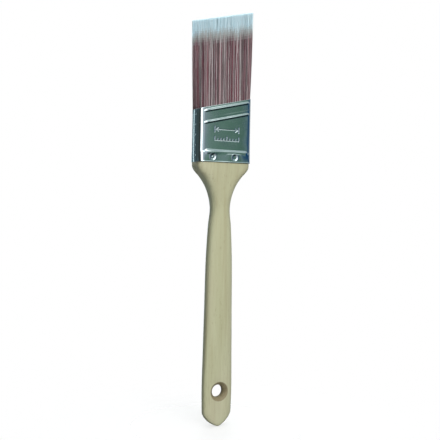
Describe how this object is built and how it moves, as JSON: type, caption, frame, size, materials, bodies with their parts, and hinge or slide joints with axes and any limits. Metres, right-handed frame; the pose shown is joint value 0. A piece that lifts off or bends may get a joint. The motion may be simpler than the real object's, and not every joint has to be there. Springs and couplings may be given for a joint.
{
  "type": "paint brush",
  "caption": "Angled sash paint brush with a long wooden handle, a hang hole, a beaded steel ferrule and a slanted pack of blended synthetic filaments",
  "frame": {"origin": "centre of the hang hole, on the handle's middle plane", "axes": "+Z along the brush from the handle to the bristle tips; +X across the width, towards the long side of the slanted bristles; +Y out of the back face, along the hang hole"},
  "size_m": [0.0422, 0.0172, 0.2857],
  "materials": {
    "handle_wood": "pale close-grained hardwood under a satin clear lacquer",
    "ferrule_steel": "bright rolled stainless steel sheet",
    "setting_resin": "cast amber epoxy",
    "plug_wood": "sawn softwood strip",
    "filaments": "tapered wine, rose, grey and white filaments with pale flagged tips",
    "nail_steel": "bright steel"
  },
  "bodies": {
    "root": {"handle": "handle_wood", "ferrule": "ferrule_steel", "resin_setting": "setting_resin", "spacer_plug": "plug_wood", "front_filament_bank": "filaments", "back_filament_bank": "filaments", "front_left_nail": "nail_steel", "front_right_nail": "nail_steel", "back_left_nail": "nail_steel", "back_right_nail": "nail_steel"}
  },
  "joints": []
}
